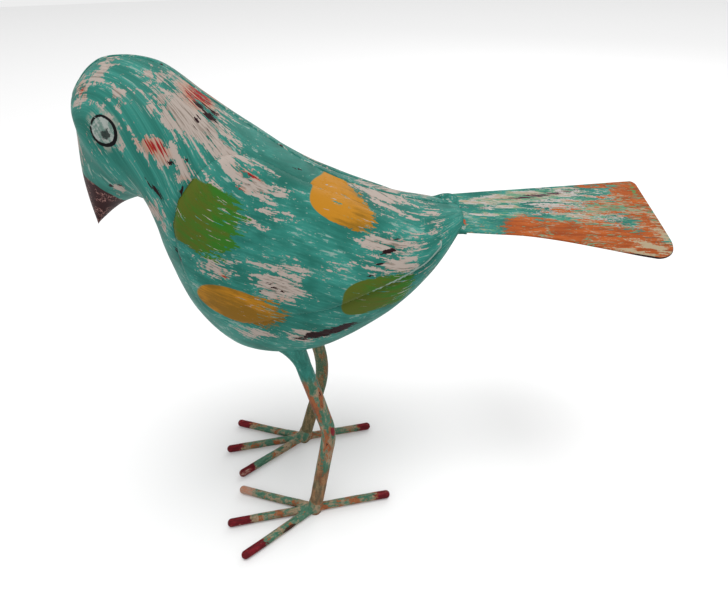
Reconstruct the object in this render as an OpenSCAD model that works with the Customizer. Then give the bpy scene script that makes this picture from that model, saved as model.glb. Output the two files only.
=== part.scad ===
// Standing garden bird of painted sheet metal: two pressed body halves, raised wing panels,
// a flared tail plate, and bent rod legs with four rod toes each. Millimetres, Z up.
// The bird faces -X, its left side is -Y, the floor is Z = 0.

/* [Body] */
// Sheet thickness of the pressed body halves
skin_t = 1; // [0.6:0.1:2]
// Width multiplier of the whole body
body_w_scale = 1; // [0.8:0.05:1.2]
// Height of the ground weld bead over the seam between the halves
bead_h = 0.6; // [0.2:0.1:1.5]
// Half width of the seam bead
bead_w = 1.6; // [0.8:0.1:3]

/* [Wings] */
// Height of the wing panel above the body skin
wing_t = 2.4; // [1:0.2:4]

/* [Tail] */
// Sheet thickness of the tail plate
tail_t = 1.2; // [0.8:0.1:3]
// Where the tail plate starts, behind the ankles
tail_x0 = 84; // [70:1:100]
// Length of the tail plate along its middle
tail_length = 109; // [80:1:150]
// How much longer the left side of the plate is than its middle
tail_slant = 2.5; // [0:0.5:8]
// Height of the middle of the tail plate at its root
tail_z = 178.5; // [170:0.5:190]
// Droop of the tail plate towards its end, degrees
tail_droop = 5.5; // [0:0.5:15]
// Tilt of the tail plate about its length, left side low, degrees
tail_tilt = 18; // [0:1:30]
// Turn of the tail plate towards the left, degrees
tail_turn = 8; // [0:1:15]
// Corner radius at the end of the tail, left and right
tail_round_left = 15; // [2:0.5:20]
tail_round_right = 4; // [1:0.5:15]

/* [Legs] */
// Diameter of the leg rod
leg_d = 8; // [6:1:12]
// Distance of each leg from the middle plane
leg_y = 29; // [20:1:40]
// Height of the bend in the leg
knee_z = 65; // [45:1:80]
// Lean of the lower leg towards the tail, degrees; the right leg was bent further
lower_lean_left = 11; // [0:1:20]
lower_lean_right = 16.5; // [0:0.5:20]
// Lean of the upper leg towards the beak, degrees
upper_lean_left = 12; // [0:1:20]
upper_lean_right = 15.5; // [0:0.5:20]
// How much the rod swells where it is bent
knee_swell = 0.3; // [0.1:0.1:1]
// Height at which the leg meets the belly
hip_z = 127; // [110:1:140]

/* [Feet] */
// Diameter of the toe rods
toe_d = 5; // [4:0.5:8]
// Length over which the toe ends are rounded
toe_round = 2; // [0.5:0.5:4]
// Lengths from the ankle: side toes, middle toe, back toe
side_toe = 50; // [30:1:60]
middle_toe = 52; // [30:1:60]
back_toe = 47; // [30:1:60]
// Spread of the side toes from straight ahead, degrees
toe_spread = 28; // [15:1:45]

/* [Hidden] */
$fn = 48;
// Body profile stations from beak tip to tail root: top point x, z; bottom point x, z; half width.
// x is measured from the ankles, positive towards the tail.
ribs = [
    [-80, 189, -79, 190, 1.5],
    [-80, 203, -71, 196, 8],
    [-79, 216, -64, 200, 14],
    [-76, 234, -57, 202, 22],
    [-74, 245, -55, 201, 26],
    [-61, 256, -53, 198, 30],
    [-42, 254, -53, 187, 34],
    [-26, 241, -52, 172, 38],
    [-8, 226, -45, 145, 44],
    [15, 208, -27, 122, 47],
    [34, 197, 2, 116, 46],
    [57, 188, 35, 126, 38],
    [75, 183, 61, 144, 28],
    [86, 180, 79, 165, 17],
    [89, 178, 84, 170, 11],
    [90, 175, 88, 173, 3]
];
// Half widths of the tail at even steps along it, left and right of its middle line
tail_left = [16, 16.2, 16.6, 19, 22.8, 27, 30];
tail_right = [11, 14.3, 17.2, 20.3, 23.6, 27, 30];
// Wing outline along the stations: station, angle of the upper edge, angle of the lower edge
wing_line = [
    [6.9, 84, 101],
    [7.2, 60, 114],
    [7.6, 40, 121],
    [8.1, 29, 125],
    [8.6, 25, 112],
    [9.2, 22, 94],
    [9.8, 21, 87],
    [10.4, 25, 80],
    [11.1, 34, 76],
    [11.6, 46, 74],
    [12, 59, 67]
];
last = len(ribs) - 1;
per_rib = 4;
nu = last * per_rib;
nv = 16;
function knee_x(low) = knee_z * tan(low);
function upper_len(up) = (hip_z - knee_z) / cos(up);

function clamp(v, lo, hi) = min(max(v, lo), hi);
function spline(p0, p1, p2, p3, t) =
    0.5 * (2 * p1 + (p2 - p0) * t + (2 * p0 - 5 * p1 + 4 * p2 - p3) * t * t
    + (3 * p1 - p0 - 3 * p2 + p3) * t * t * t);
// A table row at a fractional index, with the ends carried on straight
function row_at(tab, u) =
    let (n = len(tab) - 1, i = clamp(floor(u), 0, n - 1), t = u - i)
    let (p1 = tab[i], p2 = tab[i + 1])
    let (p0 = i > 0 ? tab[i - 1] : 2 * p1 - p2, p3 = i < n - 1 ? tab[i + 2] : 2 * p2 - p1)
    spline(p0, p1, p2, p3, t);
// A point on the left flank at station u, angle a from the top, moved in by d
function flank(u, a, d = 0) =
    let (r = row_at(ribs, u), h = [r[0] - r[2], r[1] - r[3]] / 2, k = 1 - d / norm(h))
    [(r[0] + r[2]) / 2 + h[0] * k * cos(a),
     -max(r[4] * body_w_scale - d, 0.2) * sin(a),
     (r[1] + r[3]) / 2 + h[1] * k * cos(a)];
function unit(v) = v / norm(v);
function flank_normal(u, a) =
    unit(cross(flank(u, a + 0.5) - flank(u, a - 0.5), flank(u + 0.02, a) - flank(u - 0.02, a)));
function proud(u, a, h) = flank(u, a) + h * flank_normal(u, a);

// Closed sheet between two grids of points with the same counts
module slab(top, under) {
    n = len(top) - 1;
    m = len(top[0]) - 1;
    b = (n + 1) * (m + 1);
    pts = concat([for (r = top) each r], [for (r = under) each r]);
    function k(i, j) = i * (m + 1) + j;
    polyhedron(pts, concat(
        [for (i = [0:n - 1], j = [0:m - 1]) [k(i, j), k(i + 1, j), k(i + 1, j + 1), k(i, j + 1)]],
        [for (i = [0:n - 1], j = [0:m - 1])
            [b + k(i, j), b + k(i, j + 1), b + k(i + 1, j + 1), b + k(i + 1, j)]],
        [for (i = [0:n - 1]) [k(i, 0), b + k(i, 0), b + k(i + 1, 0), k(i + 1, 0)]],
        [for (i = [0:n - 1]) [k(i, m), k(i + 1, m), b + k(i + 1, m), b + k(i, m)]],
        [for (j = [0:m - 1]) [k(0, j), k(0, j + 1), b + k(0, j + 1), b + k(0, j)]],
        [for (j = [0:m - 1]) [k(n, j), b + k(n, j), b + k(n, j + 1), k(n, j + 1)]]
    ));
}

// One pressed half: a skin from beak to tail root, closed at both ends, open on the middle plane
module half_shell() {
    i1 = 6;
    i2 = nu - 2;
    m = nv + 1;
    b = (nu + 1) * m;
    outer = [for (i = [0:nu], j = [0:nv]) flank(i / per_rib, j * 180 / nv)];
    inner = [for (i = [i1:i2], j = [0:nv]) flank(i / per_rib, j * 180 / nv, skin_t)];
    function o(i, j) = i * m + j;
    function q(i, j) = b + (i - i1) * m + j;
    polyhedron(concat(outer, inner), concat(
        [for (i = [0:nu - 1], j = [0:nv - 1]) [o(i, j), o(i + 1, j), o(i + 1, j + 1), o(i, j + 1)]],
        [for (i = [i1:i2 - 1], j = [0:nv - 1]) [q(i, j), q(i, j + 1), q(i + 1, j + 1), q(i + 1, j)]],
        [[for (j = [0:nv]) o(0, j)]],
        [[for (j = [nv:-1:0]) o(nu, j)]],
        [[for (j = [nv:-1:0]) q(i1, j)]],
        [[for (j = [0:nv]) q(i2, j)]],
        [for (i = [0:i1 - 2]) [o(i, 0), o(i, nv), o(i + 1, nv), o(i + 1, 0)]],
        [[o(i1 - 1, 0), o(i1 - 1, nv), o(i1, nv), q(i1, nv), q(i1, 0), o(i1, 0)]],
        [for (i = [i1:i2 - 1]) [o(i, 0), q(i, 0), q(i + 1, 0), o(i + 1, 0)]],
        [for (i = [i1:i2 - 1]) [o(i, nv), o(i + 1, nv), q(i + 1, nv), q(i, nv)]],
        [[o(i2, 0), q(i2, 0), q(i2, nv), o(i2, nv), o(i2 + 1, nv), o(i2 + 1, 0)]],
        [for (i = [i2 + 1:nu - 1]) [o(i, 0), o(i, nv), o(i + 1, nv), o(i + 1, 0)]]
    ));
}

// Ground weld bead along one edge of the halves; side 1 is the back, -1 the belly
module seam(side, u0, u1) {
    c = side > 0 ? 0 : 2;
    ys = [bead_w, bead_w / 2, 0, -bead_w / 2, -bead_w];
    hs = [0, 0.75, 1, 0.75, 0];
    n = nu;
    function at(u) = let (r = row_at(ribs, u)) [r[c], r[c + 1]];
    function out(u) = let (t = unit(at(u + 0.02) - at(u - 0.02))) side * [-t[1], t[0]];
    function pt(u, y, h) = let (p = at(u) + h * out(u)) [p[0], side * y, p[1]];
    function st(i) = u0 + (u1 - u0) * i / n;
    slab([for (i = [0:n]) [for (j = [0:4]) pt(st(i), ys[j], bead_h * hs[j])]],
         [for (i = [0:n]) [for (j = [0:4]) pt(st(i), ys[j], -0.5)]]);
}

module wing() {
    n = 40;
    m = 14;
    span = len(wing_line) - 1;
    function at(i, j, h) =
        let (w = row_at(wing_line, i * span / n), a = w[1] + (w[2] - w[1]) * j / m) proud(w[0], a, h);
    slab([for (i = [0:n]) [for (j = [0:m]) at(i, j, wing_t)]],
         [for (i = [0:n]) [for (j = [0:m]) at(i, j, 0)]]);
}

// Tail plate, flat, with x along it from the root and y across it
function tail_w(x, v) =
    let (half = v < 0 ? tail_left : tail_right)
    row_at([for (w = half) [w]], min(x / tail_length, 1) * (len(half) - 1))[0];
function tail_end(v) =
    let (r = v < 0 ? tail_round_left : tail_round_right, d = (1 - abs(v)) * tail_left[6])
    tail_length - tail_slant * v - (d < r ? r - sqrt(r * r - pow(r - d, 2)) : 0);
function tail_at(v, k) = let (x = k * tail_end(v)) [x, v * tail_w(x, v)];
tail_outline = concat(
    [for (i = [0:24]) tail_at(-1, i / 24)],
    [for (i = [1:39]) tail_at(-cos(180 * i / 40), 1)],
    [for (i = [24:-1:0]) tail_at(1, i / 24)]
);
// The plate's place on the body
module tail_place() {
    translate([tail_x0, -1, tail_z]) rotate([tail_tilt, tail_droop, -tail_turn]) children();
}
// How far behind the ankles a point of the plate ends up
function tail_reach(p) = tail_x0 + cos(tail_turn) * (cos(tail_droop) * p[0]
    + sin(tail_droop) * sin(tail_tilt) * p[1]) + sin(tail_turn) * cos(tail_tilt) * p[1];
mid_shift = (80.2 - max([for (p = tail_outline) tail_reach(p)])) / 2;
module tail_sheet() {
    tail_place() translate([0, 0, -tail_t]) linear_extrude(tail_t) polygon(tail_outline);
}
// Weld bead across the tail root, deeper on the right where the tilted plate stands off the body
module tail_bead() {
    m = 16;
    xs = [-7, -4, -0.5, 3, 6];
    hs = [-1.8, 0.2, 0.9, 0.6, -0.2];
    function at(i, j, h) = let (v = 2 * j / m - 1) [xs[i], -v * ((v > 0 ? 16.4 : 11.4) - 0.1 * xs[i]), h];
    tail_place()
        slab([for (i = [0:4]) [for (j = [0:m]) at(i, j, hs[i])]],
             [for (i = [0:4]) [for (j = [0:m]) at(i, j, -3 - 2 * (1 - (2 * j / m - 1)))]]);
}

// Leg rod in its own plane, ankle at the origin, cut level at the floor; low and up are its leans
module leg_rod(low, up) {
    r = leg_d / 2;
    difference() {
        union() {
            rotate([0, low, 0]) translate([0, 0, -3]) cylinder(h = knee_z / cos(low) + 3, r = r);
            translate([knee_x(low), 0, knee_z]) sphere(r = r + knee_swell);
            translate([knee_x(low), 0, knee_z]) rotate([0, -up, 0]) cylinder(h = upper_len(up), r = r);
        }
        translate([-20, -20, -20]) cube([40, 40, 20]);
    }
}
module hip_fillet(low, up) {
    translate([knee_x(low), 0, knee_z]) rotate([0, -up, 0]) translate([0, 0, upper_len(up)])
        difference() {
            rotate_extrude() polygon([[2, -16], [4.3, -16], [4.8, -11], [6.2, -5],
                                      [7.6, -1], [7.6, 5], [2, 5]]);
            translate([0, 0, -20]) cylinder(h = 30, d = leg_d);
        }
}
// Toe rod along its own heading; heading 0 points to the beak
module toe(heading, from, to) {
    r = toe_d / 2;
    rotate([0, 0, heading]) translate([-from, 0, r]) rotate([0, -90, 0])
        rotate_extrude() polygon([[0, 0], [r, 0], [r, to - from - toe_round],
            [0.9 * r, to - from - 0.5 * toe_round], [0.6 * r, to - from - 0.12 * toe_round],
            [0, to - from]]);
}
toe_start = leg_d / 2 + 0.2;
side_start = toe_d / 2 / sin(toe_spread / 2) + 0.2;
module foot_bead(low) {
    difference() {
        rotate_extrude() polygon([[0, 0.6], [9, 0.6], [9.4, 2], [8.4, 4], [6.4, 5.6],
                                  [5, 7.5], [4.5, 10], [0, 10]]);
        rotate([0, low, 0]) translate([0, 0, -10]) cylinder(h = 40, d = leg_d);
        for (h = [0, 180]) toe(h, 0, middle_toe);
        for (h = [-toe_spread, toe_spread]) toe(h, side_start, side_toe);
    }
}

module place() { translate([mid_shift, 0, 0]) children(); }
module left() { translate([mid_shift, -leg_y, 0]) children(); }
module right() { translate([mid_shift, leg_y, 0]) mirror([0, 1, 0]) children(); }
module flip() { mirror([0, 1, 0]) children(); }

module body_left() { color("#3f9488") place() half_shell(); }
module body_right() { color("#3f9488") place() flip() half_shell(); }
module back_seam() { color("#6d5f55") place() seam(1, 1.6, 12.6); }
module belly_seam() { color("#6d5f55") place() seam(-1, 1.6, 12.6); }
module wing_left() { color("#57a190") place() wing(); }
module wing_right() { color("#57a190") place() flip() wing(); }
module tail_plate() { color("#5f8f7a") place() tail_sheet(); }
module tail_weld() { color("#6d5f55") place() tail_bead(); }
module leg_left() { color("#5b7a6c") left() leg_rod(lower_lean_left, upper_lean_left); }
module leg_right() { color("#5b7a6c") right() leg_rod(lower_lean_right, upper_lean_right); }
module hip_weld_left() { color("#6d5f55") left() hip_fillet(lower_lean_left, upper_lean_left); }
module hip_weld_right() { color("#6d5f55") right() hip_fillet(lower_lean_right, upper_lean_right); }
module foot_weld_left() { color("#4f7f70") left() foot_bead(lower_lean_left); }
module foot_weld_right() { color("#4f7f70") right() foot_bead(lower_lean_right); }
module toe_inner_left() { color("#5b7a6c") left() toe(-toe_spread, side_start, side_toe); }
module toe_middle_left() { color("#5b7a6c") left() toe(0, toe_start, middle_toe); }
module toe_outer_left() { color("#5b7a6c") left() toe(toe_spread, side_start, side_toe); }
module toe_back_left() { color("#5b7a6c") left() toe(180, toe_start, back_toe); }
module toe_inner_right() { color("#5b7a6c") right() toe(-toe_spread, side_start, side_toe); }
module toe_middle_right() { color("#5b7a6c") right() toe(0, toe_start, middle_toe); }
module toe_outer_right() { color("#5b7a6c") right() toe(toe_spread, side_start, side_toe); }
module toe_back_right() { color("#5b7a6c") right() toe(180, toe_start, back_toe); }

body_left();
body_right();
back_seam();
belly_seam();
wing_left();
wing_right();
tail_plate();
tail_weld();
leg_left();
leg_right();
hip_weld_left();
hip_weld_right();
foot_weld_left();
foot_weld_right();
toe_inner_left();
toe_middle_left();
toe_outer_left();
toe_back_left();
toe_inner_right();
toe_middle_right();
toe_outer_right();
toe_back_right();
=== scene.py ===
"""A standing garden bird of painted sheet metal: its visible pieces, its paint and the view."""
import math

import bpy
import numpy as np
from mathutils import Matrix, Vector, noise


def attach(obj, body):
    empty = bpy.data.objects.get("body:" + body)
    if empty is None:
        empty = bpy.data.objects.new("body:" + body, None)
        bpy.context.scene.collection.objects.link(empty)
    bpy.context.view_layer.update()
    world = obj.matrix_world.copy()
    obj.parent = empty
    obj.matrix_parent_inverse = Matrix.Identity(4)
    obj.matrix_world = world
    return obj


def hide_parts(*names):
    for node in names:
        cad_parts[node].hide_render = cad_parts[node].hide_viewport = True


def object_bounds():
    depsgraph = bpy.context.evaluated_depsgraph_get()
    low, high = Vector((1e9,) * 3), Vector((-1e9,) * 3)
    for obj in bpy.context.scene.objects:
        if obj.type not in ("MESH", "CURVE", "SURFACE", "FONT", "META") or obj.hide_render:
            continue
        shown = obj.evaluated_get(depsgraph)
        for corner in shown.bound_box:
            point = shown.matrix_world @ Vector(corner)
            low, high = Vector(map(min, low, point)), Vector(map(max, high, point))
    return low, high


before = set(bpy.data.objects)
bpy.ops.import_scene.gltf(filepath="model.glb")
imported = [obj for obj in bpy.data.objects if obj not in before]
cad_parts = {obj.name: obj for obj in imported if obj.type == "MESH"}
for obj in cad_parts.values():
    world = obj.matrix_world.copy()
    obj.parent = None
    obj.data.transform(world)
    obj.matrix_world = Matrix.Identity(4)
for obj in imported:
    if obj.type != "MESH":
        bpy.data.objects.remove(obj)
cad_lo, cad_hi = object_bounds()

# Shape, in millimetres. x is measured from the ankles towards the tail, as in the CAD.
ANKLE_X = round(1000 * cad_lo[0] + 80.2, 1)
# The paint layout is measured from a point this far behind the ankles
PAINT_SHIFT = 52.5
PAINT_X = ANKLE_X + PAINT_SHIFT
MIDDLE = np.array([ANKLE_X, 0, 0])
RIBS = np.array([
    [-80, 189, -79, 190, 1.5], [-80, 203, -71, 196, 8], [-79, 216, -64, 200, 14],
    [-76, 234, -57, 202, 22], [-74, 245, -55, 201, 26], [-61, 256, -53, 198, 30],
    [-42, 254, -53, 187, 34], [-26, 241, -52, 172, 38], [-8, 226, -45, 145, 44],
    [15, 208, -27, 122, 47], [34, 197, 2, 116, 46], [57, 188, 35, 126, 38],
    [75, 183, 61, 144, 28], [86, 180, 79, 165, 17], [89, 178, 84, 170, 11],
    [90, 175, 88, 173, 3],
], float)
WING_LINE = np.array([
    [6.9, 84, 101], [7.2, 60, 114], [7.6, 40, 121], [8.1, 29, 125], [8.6, 25, 112],
    [9.2, 22, 94], [9.8, 21, 87], [10.4, 25, 80], [11.1, 34, 76], [11.6, 46, 74], [12, 59, 67],
], float)
SKIN, WING_T, TAIL_T = 1.0, 2.4, 1.2
TAIL_ROOT, TAIL_LENGTH, TAIL_SLANT = (84.0, -1.0, 178.5), 109.0, 2.5
TAIL_TILT, TAIL_DROOP, TAIL_TURN = 18.0, 5.5, -8.0
TAIL_LEFT = np.array([[16], [16.2], [16.6], [19], [22.8], [27], [30]])
TAIL_RIGHT = np.array([[11], [14.3], [17.2], [20.3], [23.6], [27], [30]])
TAIL_ROUND = (15.0, 4.0)
LEG_R, LEG_Y, KNEE_Z, HIP_Z = 4.0, 29.0, 65.0, 127.0
LEANS = {"left": (11.0, 12.0), "right": (16.5, 15.5)}
TOE_R, TOE_SPREAD, TOE_ROUND = 2.5, 28.0, 2.4
TOES = {"inner": (-TOE_SPREAD, 50.0), "middle": (0.0, 52.0),
        "outer": (TOE_SPREAD, 50.0), "back": (180.0, 47.0)}


# ---------------------------------------------------------------- numbers and surfaces
def rows(tab, u):
    """Catmull-Rom rows of a table at fractional indices, the ends carried on straight."""
    u = np.asarray(u, float)
    n = len(tab) - 1
    ext = np.vstack([2 * tab[0] - tab[1], tab, 2 * tab[-1] - tab[-2]])
    i = np.clip(np.floor(u).astype(int), 0, n - 1)
    t = (u - i)[..., None]
    p0, p1, p2, p3 = ext[i], ext[i + 1], ext[i + 2], ext[i + 3]
    return 0.5 * (2 * p1 + (p2 - p0) * t + (2 * p0 - 5 * p1 + 4 * p2 - p3) * t ** 2
                  + (3 * p1 - p0 - 3 * p2 + p3) * t ** 3)


def flank(u, a, inset=0.0):
    """Points of the left flank at station u and angle a (radians from the top)."""
    r = rows(RIBS, u)
    h = (r[..., 0:2] - r[..., 2:4]) / 2
    m = (r[..., 0:2] + r[..., 2:4]) / 2
    k = np.maximum(1 - inset / np.linalg.norm(h, axis=-1), 0.1)
    w = np.maximum(r[..., 4] - inset, 0.15)
    return np.stack([m[..., 0] + h[..., 0] * k * np.cos(a), -w * np.sin(a),
                     m[..., 1] + h[..., 1] * k * np.cos(a)], -1)


def unit(v):
    return v / np.maximum(np.linalg.norm(v, axis=-1, keepdims=True), 1e-9)


def flank_normal(u, a):
    du = flank(u + 0.02, a) - flank(u - 0.02, a)
    da = flank(u, a + 0.01) - flank(u, a - 0.01)
    return unit(np.cross(da, du))


def smooth(x, lo, hi):
    t = np.clip((x - lo) / (hi - lo), 0, 1)
    return t * t * (3 - 2 * t)


def wobble(p, size, seed):
    """Smooth noise from -1 to 1 at points in millimetres."""
    flat = p.reshape(-1, 3) / size + seed
    return np.array([noise.noise(Vector(q)) for q in flat]).reshape(p.shape[:-1])


def nearest(p, line):
    """Distance from each point to a dense line of points."""
    flat = p.reshape(-1, 3)
    out = np.empty(len(flat))
    for k in range(0, len(flat), 4000):
        d = flat[k:k + 4000, None, :] - line[None]
        out[k:k + 4000] = np.sqrt((d ** 2).sum(-1).min(1))
    return out.reshape(p.shape[:-1])


# ---------------------------------------------------------------- paint layout on the flanks
# Each blot: x and z of its middle, half length, half width, tilt in degrees from +X towards +Z,
# strength.
LEFT = {
    "primer": [
        (-82, 236, 20, 7, -40, 1.3), (-80, 243, 16, 4, -42, 1.1), (-73, 226, 14, 4, -30, 1.0),
        (-112, 254, 9, 2.6, 36, 0.8), (-121, 247, 6, 4, 49, 0.8), (-95, 229, 11, 5, -36, 1.3),
        (-88, 221, 6, 4, -68, 0.9), (-115, 211, 4, 4, 10, 0.8), (-62, 213, 14, 4.8, -31, 1.1),
        (-69, 203, 9, 2.5, -21, 0.8), (-57, 202, 7, 2, -26, 0.8), (-58, 175, 14, 7, -20, 1.2),
        (-82, 186, 9, 5, -17, 0.7), (-53, 182, 16, 2.5, -16, 0.7), (-7, 180, 18, 4.6, -16, 1.2),
        (-6, 171, 19, 4.5, -21, 1.0), (-8, 192, 22, 3, -24, 0.8), (18, 181, 5, 5, 0, 0.5),
        (-50, 146, 9, 5, -5, 1.2), (-66, 148, 13, 4, -8, 0.6), (-45, 144, 12, 3, 0, 0.5),
        (-128, 226, 4, 9, 0, 0.6), (-103, 205, 5, 9, 20, 0.6), (-113, 236, 8, 7, 0, 0.35),
        (-106, 247, 5, 3.5, 60, 0.4), (-78, 214, 7, 4, 0, 0.3), (-92, 250, 8, 3, -20, 0.5),
        (-35, 218, 20, 3, -33, 0.5)],
    "red": [
        (-80, 241.5, 11, 3.4, -42, 1.35), (-97, 231, 8.5, 4.2, -35, 1.35),
        (-64, 217, 9, 1.8, -31, 1.1), (-68, 213, 5, 1.2, -31, 1), (-58, 169, 6, 1.6, -17, 0.7),
        (-79, 181, 3, 4, 0, 0.9), (-120, 248, 3, 3, 50, 1.1), (-94, 226, 5, 1.5, -30, 0.8),
        (-88, 219, 3, 1.5, -30, 0.7), (-112, 257, 5, 1.2, 30, 0.9)],
    "dark": [
        (-76, 235.5, 4.4, 1.7, -38, 0.95), (-79, 239, 3.5, 0.8, -38, 1),
        (-81, 236, 1.6, 0.9, -38, 1), (-92, 225, 2.2, 1, -12, 1.2),
        (-99, 215, 5.5, 1.1, -62, 1), (-118, 213, 1.6, 1.4, -60, 1), (-114, 214, 1.4, 0.9, 0, 1),
        (-89.5, 215, 2.8, 0.7, 60, 1.1), (-39, 145, 16.5, 3.3, 3, 1.5),
        (-9, 178, 5.5, 1.0, 0, 0.85), (-14, 174.5, 4, 0.6, -2, 0.8), (-19, 171, 2, 0.5, -10, 1),
        (-4, 181, 3, 0.5, -5, 1), (-62, 177, 3, 0.6, -19, 1), (-60, 174.5, 3, 0.6, -12, 1),
        (-66, 174, 1.5, 0.6, -19, 1), (-57, 172.5, 1.6, 0.5, -19, 1),
        (-44, 210.5, 3.5, 0.35, -30, 0.75), (-96, 188, 3.5, 0.9, -71, 1),
        (-86, 225, 1.2, 0.7, 30, 1), (-108, 189, 3, 0.5, -60, 0.8)],
    "green": [(-85, 205, 16.5, 13.5, -30, 1.1), (-15, 160, 18.5, 10, -6, 1.1)],
    "orange": [(-27, 196, 16.5, 5.3, -30, 1.15), (-74, 165.5, 20, 9, -27, 1.0)],
}
RIGHT = {
    "primer": [
        (-80, 238, 18, 7, -38, 1.2), (-60, 217, 15, 5, -32, 1.0), (-110, 252, 9, 5, 30, 1.0),
        (-95, 224, 9, 6, -40, 1.0), (-48, 190, 16, 6, -22, 1.1), (-72, 183, 10, 5, -18, 0.8),
        (-30, 168, 14, 6, -14, 1.1), (2, 178, 15, 5, -20, 1.1), (-2, 190, 20, 4, -22, 0.9),
        (-85, 160, 10, 4, -35, 0.7), (-55, 146, 14, 4, -8, 0.8), (18, 180, 6, 6, 0, 0.9),
        (-126, 228, 4, 10, 0, 0.6), (-104, 206, 5, 9, 20, 0.6), (-113, 236, 9, 8, 0, 0.45),
        (-30, 200, 10, 3, -28, 0.7), (-15, 152, 12, 4, 12, 0.7)],
    "red": [
        (-76, 240, 8, 2.4, -40, 1.1), (-94, 226, 6, 3, -35, 1.0), (-48, 192, 8, 2.2, -22, 1.0),
        (2, 180, 6, 2, -20, 0.9), (-58, 147, 6, 2, -10, 0.9), (-118, 249, 2, 3, 10, 0.9)],
    "dark": [
        (-84, 241, 4, 2.2, -38, 1.1), (-96, 221, 2.4, 1.1, -12, 1.1), (-100, 214, 5, 1, -62, 1),
        (-45, 188, 4, 1.4, -20, 1.1), (-26, 168, 6, 1.8, -10, 1.2), (6, 176, 4, 1.4, -8, 1.1),
        (-70, 150, 12, 2.4, -16, 1.3), (-56, 218, 3, 0.8, -32, 1)],
    "green": [(-36, 183, 15, 8.5, -22, 1.0), (-84, 178, 13, 10, -30, 1.0)],
    "orange": [(-80, 208, 14, 9, -28, 1.0), (-8, 164, 17, 7, -4, 1.0)],
}
EYE = (-113.4, 236.3)
FIELDS = ("primer", "red", "dark", "green", "orange")


def in_blot(p, x, z, length, width, tilt):
    """Each point's place in a blot, along and across it, in half lengths and half widths."""
    c, s = math.cos(math.radians(tilt)), math.sin(math.radians(tilt))
    dx, dz = p[..., 0] - PAINT_X - x, p[..., 2] - z
    return (dx * c + dz * s) / length, (dz * c - dx * s) / width


def blots(p, name):
    """How far inside a kind of blot each point is: the strength at a middle, 0 at an edge."""
    out = np.full(p.shape[:-1], -1.0)
    power = {"green": 3.4, "orange": 2.4}.get(name, 2.0)
    for side, table in ((p[..., 1] <= 0, LEFT), (p[..., 1] > 0, RIGHT)):
        for *place, strength in table[name]:
            along, across = in_blot(p, *place)
            d = (np.abs(along) ** power + np.abs(across) ** power) ** (1 / power)
            out = np.where(side, np.maximum(out, (1 - d) * strength), out)
    return out


def patch_along(p):
    """Where each point lies along the nearest brushed patch, -0.5 at its front to 0.5 behind."""
    best, out = np.full(p.shape[:-1], 9.0), np.full(p.shape[:-1], 0.5)
    for side, table in ((p[..., 1] <= 0, LEFT), (p[..., 1] > 0, RIGHT)):
        for *place, _ in table["green"] + table["orange"]:
            along, across = in_blot(p, *place)
            d = np.hypot(along, across)
            near = side & (d < best)
            best, out = np.where(near, d, best), np.where(near, along / 2, out)
    return out.clip(-0.5, 0.5)


# Where the brush ran across the flow of the body: x, z, reach in x and z, tilt of the strokes
BRUSH = [(-52, 182, 76, 50, -27), (-111, 229, 24, 27, -70)]
PROBE_U, PROBE_A = np.meshgrid(np.linspace(1, 13, 160), np.linspace(0.3, 2.8, 120), indexing="ij")
PROBE = flank(PROBE_U, PROBE_A)
FLOW_PER_MM = 0.09


def brushed(p, v):
    """The flow map's crosswise coordinate, turned to the strokes of the brush."""
    x, z = p[..., 0] - PAINT_SHIFT, p[..., 2]
    for bx, bz, rx, rz, tilt in BRUSH:
        k = ((PROBE[..., 0] - PAINT_SHIFT - bx) ** 2 + (PROBE[..., 2] - bz) ** 2).argmin()
        middle = PROBE_A.flat[k] / math.pi * 10
        c, s = math.cos(math.radians(tilt)), math.sin(math.radians(tilt))
        k = np.exp(-(((x - bx) / rx) ** 2 + ((z - bz) / rz) ** 2) ** 2)
        v = v * (1 - k) + k * (middle - ((z - bz) * c - (x - bx) * s) * FLOW_PER_MM)
    return v


def beak_field(p):
    """Millimetres past the edge of the beak's paint, positive on the beak."""
    e = np.array([12.4, -13.7])
    x, z = p[..., 0] - PAINT_X + 129, p[..., 2] - 214.4
    t = (x * e[0] + z * e[1]) / (e @ e)
    across = (x * e[1] - z * e[0]) / math.hypot(*e)
    edge = across + 2.2 * (1 - (2 * np.clip(t, 0, 1) - 1) ** 2)
    return np.where(p[..., 0] - PAINT_X > -112, -9.0, edge)


# ---------------------------------------------------------------- building meshes
def add_mesh(name, verts_mm, faces, fields=None, flow=None):
    """A mesh object from points in the row frame, with float fields and a 'flow' map."""
    me = bpy.data.meshes.new(name)
    me.from_pydata((np.asarray(verts_mm) / 1000).tolist(), [], faces)
    me.update()
    for key, values in (fields or {}).items():
        att = me.attributes.new(key, "FLOAT", "POINT")
        att.data.foreach_set("value", np.asarray(values, np.float32).ravel())
    if flow is not None:
        layer = me.uv_layers.new(name="flow")
        idx = np.empty(len(me.loops), np.int32)
        me.loops.foreach_get("vertex_index", idx)
        layer.data.foreach_set("uv", np.asarray(flow, np.float32)[idx].ravel())
    ob = bpy.data.objects.new(name, me)
    bpy.context.scene.collection.objects.link(ob)
    me.polygons.foreach_set("use_smooth", [True] * len(me.polygons))
    return ob


def slab_faces(n, m, flip):
    """Faces of a closed sheet between two (n+1) x (m+1) grids, the second numbered after."""
    b = (n + 1) * (m + 1)

    def k(i, j):
        return i * (m + 1) + j
    f = []
    for i in range(n):
        for j in range(m):
            q = (k(i, j), k(i, j + 1), k(i + 1, j + 1), k(i + 1, j))
            f += [q, tuple(b + v for v in reversed(q))]
        f += [(k(i, 0), k(i + 1, 0), b + k(i + 1, 0), b + k(i, 0)),
              (k(i, m), b + k(i, m), b + k(i + 1, m), k(i + 1, m))]
    for j in range(m):
        f += [(k(0, j), b + k(0, j), b + k(0, j + 1), k(0, j + 1)),
              (k(n, j), k(n, j + 1), b + k(n, j + 1), b + k(n, j))]
    return [tuple(reversed(q)) for q in f] if flip else f


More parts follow.
